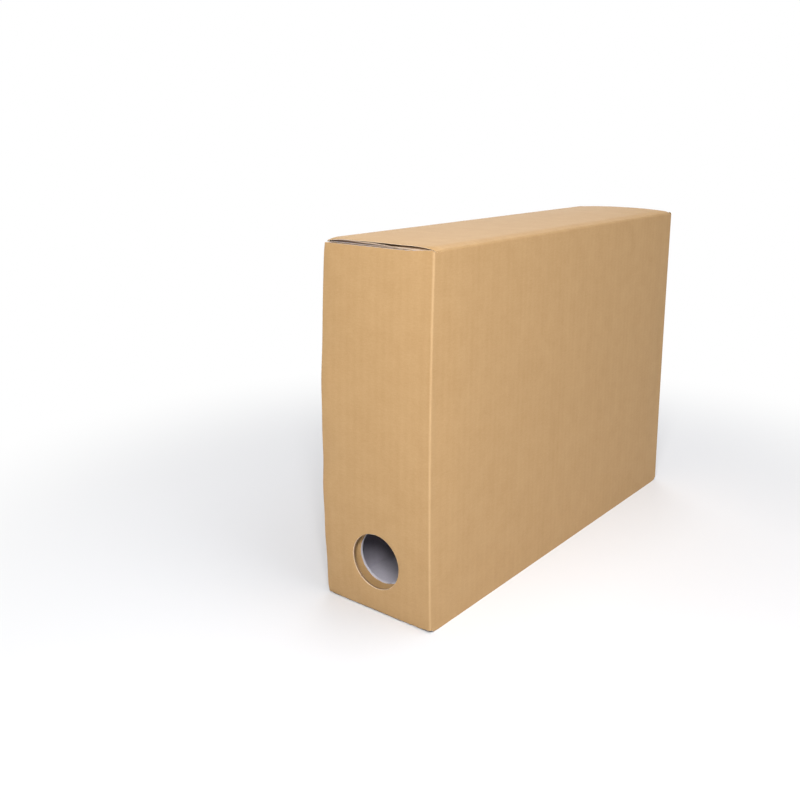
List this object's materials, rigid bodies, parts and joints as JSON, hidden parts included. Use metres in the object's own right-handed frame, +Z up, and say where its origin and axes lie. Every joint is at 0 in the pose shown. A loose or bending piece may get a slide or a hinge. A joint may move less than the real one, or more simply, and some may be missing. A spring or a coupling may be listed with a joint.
{
  "type": "upright box file",
  "caption": "Tall narrow archive box of folded corrugated board, with double hinged flaps and a finger hole at each end.",
  "frame": {"origin": "middle of the footprint, on the surface that the box stands on", "axes": "+Z up, +Y along the length towards the plain rear end, the printed front end at -Y, the side that carries the outer flaps at -X"},
  "size_m": [0.097, 0.38, 0.27],
  "materials": {
    "kraft_liner": "matt brown kraft liner",
    "fluting_paper": "matt fluted medium",
    "grey_liner": "matt grey recycled liner",
    "dried_glue": "dried white glue"
  },
  "bodies": {
    "sleeve": {"left_side_outer_liner": "kraft_liner", "left_side_fluting": "fluting_paper", "left_side_inner_liner": "grey_liner", "right_side_outer_liner": "kraft_liner", "right_side_fluting": "fluting_paper", "right_side_inner_liner": "grey_liner", "top_outer_liner": "kraft_liner", "top_fluting": "fluting_paper", "top_inner_liner": "grey_liner", "bottom_outer_liner": "kraft_liner", "bottom_fluting": "fluting_paper", "bottom_inner_liner": "grey_liner", "seam_flap_outer_liner": "kraft_liner", "seam_flap_fluting": "fluting_paper", "seam_flap_inner_liner": "grey_liner", "seam_glue": "dried_glue"},
    "front_outer_flap": {"front_outer_flap_outer_liner": "kraft_liner", "front_outer_flap_fluting": "fluting_paper", "front_outer_flap_inner_liner": "grey_liner"},
    "front_inner_flap": {"front_inner_flap_outer_liner": "kraft_liner", "front_inner_flap_fluting": "fluting_paper", "front_inner_flap_inner_liner": "grey_liner"},
    "rear_outer_flap": {"rear_outer_flap_outer_liner": "kraft_liner", "rear_outer_flap_fluting": "fluting_paper", "rear_outer_flap_inner_liner": "grey_liner"},
    "rear_inner_flap": {"rear_inner_flap_outer_liner": "kraft_liner", "rear_inner_flap_fluting": "fluting_paper", "rear_inner_flap_inner_liner": "grey_liner"}
  },
  "joints": [
    {"name": "front_outer_hinge", "type": "hinge", "parent": "sleeve", "child": "front_outer_flap", "pos_m": [-0.04786, -0.18936, 0.135], "axis": [0, 0, -1], "range_deg": [0, 180]},
    {"name": "front_inner_hinge", "type": "hinge", "parent": "sleeve", "child": "front_inner_flap", "pos_m": [0.0455, -0.1837, 0.135], "axis": [0, 0, -1], "range_deg": [0, 85]},
    {"name": "rear_outer_hinge", "type": "hinge", "parent": "sleeve", "child": "rear_outer_flap", "pos_m": [-0.04786, 0.18936, 0.135], "axis": [0, 0, 1], "range_deg": [0, 180]},
    {"name": "rear_inner_hinge", "type": "hinge", "parent": "sleeve", "child": "rear_inner_flap", "pos_m": [0.0455, 0.1837, 0.135], "axis": [0, 0, 1], "range_deg": [-8, 77]}
  ]
}
